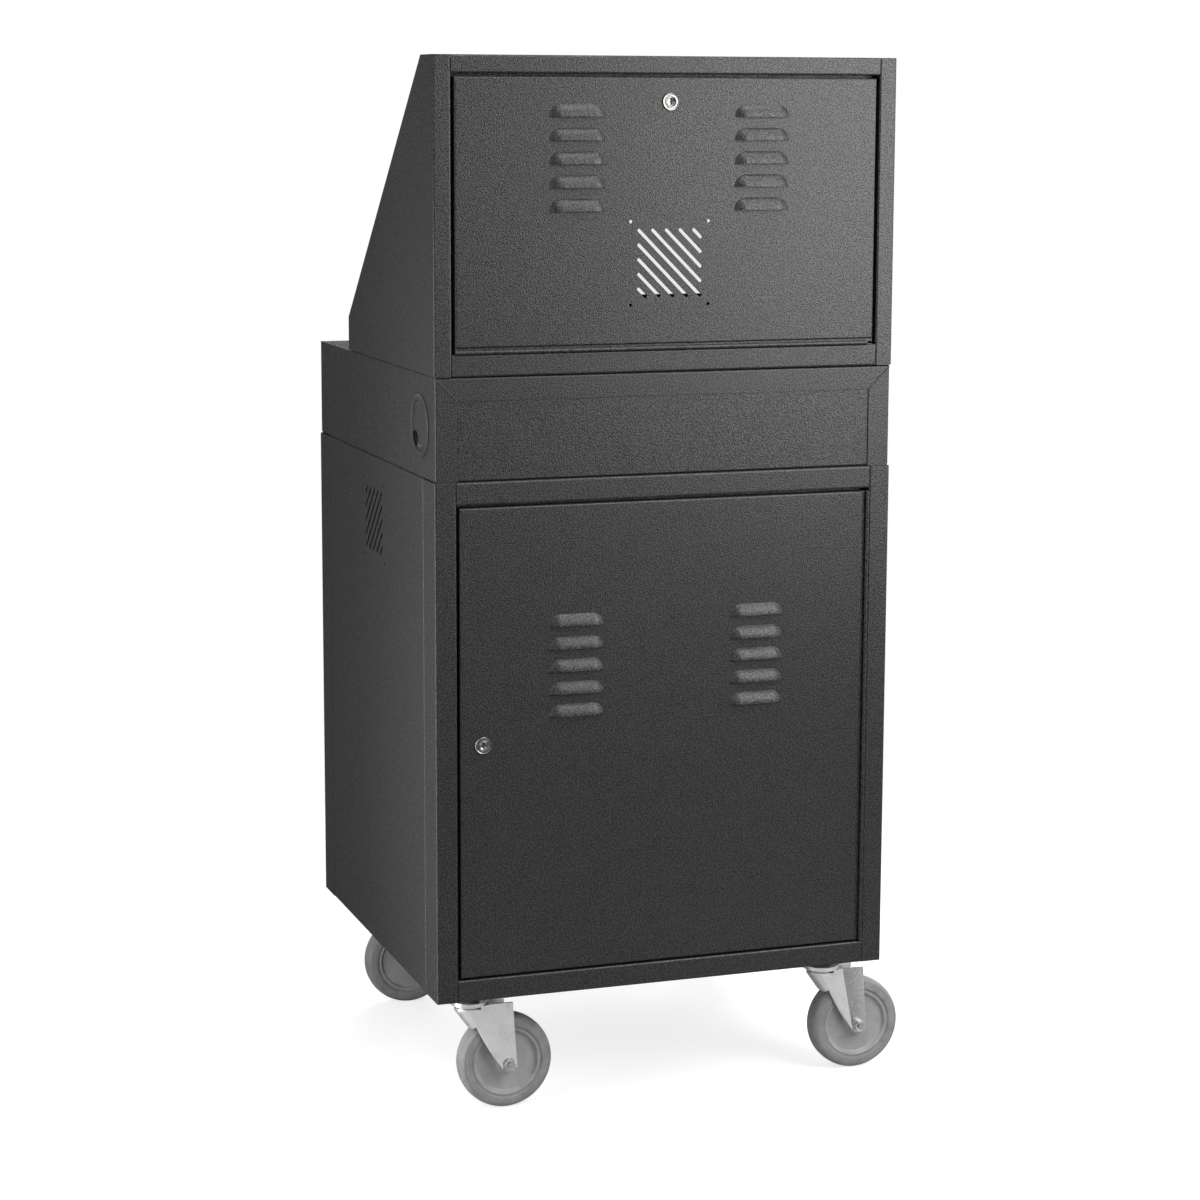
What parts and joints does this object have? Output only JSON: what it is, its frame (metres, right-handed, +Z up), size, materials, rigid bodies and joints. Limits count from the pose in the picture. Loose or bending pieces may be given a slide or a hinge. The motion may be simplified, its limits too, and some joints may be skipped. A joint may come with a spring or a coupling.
{
  "type": "mobile computer cabinet",
  "caption": "Wheeled steel cabinet for a computer workstation: lockable base with a shelf, keyboard drawer with a fold-down flap, and a windowed upper box with a louvred drop-down door.",
  "frame": {"origin": "on the floor, midway between the four caster swivels and under the middle of the base", "axes": "+Z up; +Y towards the operator, who sits before the sloping window and the keyboard drawer; -Y towards the service face with the louvred doors; +X to the right seen from the service face"},
  "size_m": [0.6731, 0.6055, 1.3674],
  "materials": {
    "black_powder_coat": "fine textured, satin",
    "zinc_plated_steel": "bright zinc",
    "nickel_plated_zinc": "polished",
    "black_plastic": "matt",
    "clear_pane": "clear",
    "grey_wheel_centre": "matt",
    "grey_rubber": "matt"
  },
  "bodies": {
    "cabinet": {"base_left_side": "black_powder_coat", "base_right_side": "black_powder_coat", "base_rear_posts": "black_powder_coat", "base_front_posts": "black_powder_coat", "base_rear_rails": "black_powder_coat", "base_front_rails": "black_powder_coat", "base_floor": "black_powder_coat", "base_top": "black_powder_coat", "shelf": "black_powder_coat", "shelf_clips": "zinc_plated_steel", "mid_left_side": "black_powder_coat", "mid_right_side": "black_powder_coat", "mid_rear_panel": "black_powder_coat", "mid_top": "black_powder_coat", "upper_left_side": "black_powder_coat", "upper_right_side": "black_powder_coat", "upper_top": "black_powder_coat", "upper_rails": "black_powder_coat", "window_frame": "black_powder_coat", "window_pane": "clear_pane", "window_strips": "black_powder_coat", "grommet_liners": "black_plastic", "frame_hinge_leaves": "black_powder_coat", "hinge_pins": "zinc_plated_steel", "drawer_fixed_slides": "zinc_plated_steel", "caster_plates": "zinc_plated_steel", "caster_bolts": "zinc_plated_steel"},
    "upper_door": {"upper_door_panel": "black_powder_coat", "upper_door_hinge_leaf": "black_powder_coat", "upper_lock_body": "nickel_plated_zinc"},
    "upper_lock": {"upper_lock_plug": "nickel_plated_zinc"},
    "rear_door": {"rear_door_panel": "black_powder_coat", "rear_door_hinge_leaf": "black_powder_coat", "rear_lock_body": "nickel_plated_zinc"},
    "rear_lock": {"rear_lock_plug": "nickel_plated_zinc"},
    "front_door": {"front_door_panel": "black_powder_coat", "front_door_hinge_leaf": "black_powder_coat", "front_lock_body": "nickel_plated_zinc"},
    "front_lock": {"front_lock_plug": "nickel_plated_zinc"},
    "drawer": {"drawer_tray": "black_powder_coat", "drawer_inner_slides": "zinc_plated_steel"},
    "drawer_middle": {"drawer_middle_slides": "zinc_plated_steel"},
    "flap": {"drawer_flap": "black_powder_coat", "flap_lock_body": "nickel_plated_zinc"},
    "flap_lock": {"flap_lock_plug": "nickel_plated_zinc"},
    "left_cap": {"left_grommet_cap": "black_plastic"},
    "right_cap": {"right_grommet_cap": "black_plastic"},
    "rear_left_swivel": {"rear_left_fork": "zinc_plated_steel"},
    "rear_left_wheel": {"rear_left_wheel": "grey_wheel_centre", "rear_left_tyre": "grey_rubber"},
    "rear_right_swivel": {"rear_right_fork": "zinc_plated_steel"},
    "rear_right_wheel": {"rear_right_wheel": "grey_wheel_centre", "rear_right_tyre": "grey_rubber"},
    "front_left_swivel": {"front_left_fork": "zinc_plated_steel"},
    "front_left_wheel": {"front_left_wheel": "grey_wheel_centre", "front_left_tyre": "grey_rubber"},
    "front_right_swivel": {"front_right_fork": "zinc_plated_steel"},
    "front_right_wheel": {"front_right_wheel": "grey_wheel_centre", "front_right_tyre": "grey_rubber"}
  },
  "joints": [
    {"name": "upper_door_hinge", "type": "hinge", "parent": "cabinet", "child": "upper_door", "pos_m": [0, -0.2985, 1.0017], "axis": [1, 0, 0], "range_deg": [0, 170]},
    {"name": "upper_lock_turn", "type": "hinge", "parent": "upper_door", "child": "upper_lock", "pos_m": [0, -0.298, 1.3109], "axis": [0, 1, 0], "range_deg": [0, 90]},
    {"name": "rear_door_hinge", "type": "hinge", "parent": "cabinet", "child": "rear_door", "pos_m": [0.28, -0.2985, 0.50135], "axis": [0, 0, 1], "range_deg": [0, 170]},
    {"name": "rear_lock_turn", "type": "hinge", "parent": "rear_door", "child": "rear_lock", "pos_m": [-0.2487, -0.298, 0.50135], "axis": [0, 1, 0], "range_deg": [0, 90]},
    {"name": "front_door_hinge", "type": "hinge", "parent": "cabinet", "child": "front_door", "pos_m": [-0.28, 0.2985, 0.50135], "axis": [0, 0, 1], "range_deg": [0, 170]},
    {"name": "front_lock_turn", "type": "hinge", "parent": "front_door", "child": "front_lock", "pos_m": [0.2487, 0.298, 0.50135], "axis": [0, -1, 0], "range_deg": [0, 90]},
    {"name": "drawer_slide", "type": "slide", "parent": "cabinet", "child": "drawer", "axis": [0, 1, 0], "range_m": [0, 0.3]},
    {"name": "middle_slide", "type": "slide", "parent": "cabinet", "child": "drawer_middle", "axis": [0, 1, 0], "range_m": [0, 0.15]},
    {"name": "flap_hinge", "type": "hinge", "parent": "drawer", "child": "flap", "pos_m": [0, 0.289, 0.8504], "axis": [-1, 0, 0], "range_deg": [0, 90]},
    {"name": "flap_lock_turn", "type": "hinge", "parent": "flap", "child": "flap_lock", "pos_m": [0, 0.2965, 0.9246], "axis": [0, -1, 0], "range_deg": [0, 90]},
    {"name": "left_cap_turn", "type": "hinge", "parent": "cabinet", "child": "left_cap", "pos_m": [-0.3095, -0.2295, 0.905], "axis": [1, 0, 0], "continuous": true},
    {"name": "right_cap_turn", "type": "hinge", "parent": "cabinet", "child": "right_cap", "pos_m": [0.3095, -0.2295, 0.905], "axis": [1, 0, 0], "continuous": true},
    {"name": "rear_left_swivel_turn", "type": "hinge", "parent": "cabinet", "child": "rear_left_swivel", "pos_m": [-0.2505, -0.238, 0.137], "axis": [0, 0, 1], "continuous": true},
    {"name": "rear_left_wheel_spin", "type": "hinge", "parent": "rear_left_swivel", "child": "rear_left_wheel", "pos_m": [-0.2035, -0.238, 0.0635], "axis": [0, 1, 0], "continuous": true},
    {"name": "rear_right_swivel_turn", "type": "hinge", "parent": "cabinet", "child": "rear_right_swivel", "pos_m": [0.2505, -0.238, 0.137], "axis": [0, 0, 1], "continuous": true},
    {"name": "rear_right_wheel_spin", "type": "hinge", "parent": "rear_right_swivel", "child": "rear_right_wheel", "pos_m": [0.2975, -0.238, 0.0635], "axis": [0, 1, 0], "continuous": true},
    {"name": "front_left_swivel_turn", "type": "hinge", "parent": "cabinet", "child": "front_left_swivel", "pos_m": [-0.2505, 0.238, 0.137], "axis": [0, 0, 1], "continuous": true},
    {"name": "front_left_wheel_spin", "type": "hinge", "parent": "front_left_swivel", "child": "front_left_wheel", "pos_m": [-0.2035, 0.238, 0.0635], "axis": [0, 1, 0], "continuous": true},
    {"name": "front_right_swivel_turn", "type": "hinge", "parent": "cabinet", "child": "front_right_swivel", "pos_m": [0.2505, 0.238, 0.137], "axis": [0, 0, 1], "continuous": true},
    {"name": "front_right_wheel_spin", "type": "hinge", "parent": "front_right_swivel", "child": "front_right_wheel", "pos_m": [0.2975, 0.238, 0.0635], "axis": [0, 1, 0], "continuous": true}
  ],
  "couplings": [
    {"joint": "middle_slide", "follows": "drawer_slide", "ratio": 0.5}
  ]
}
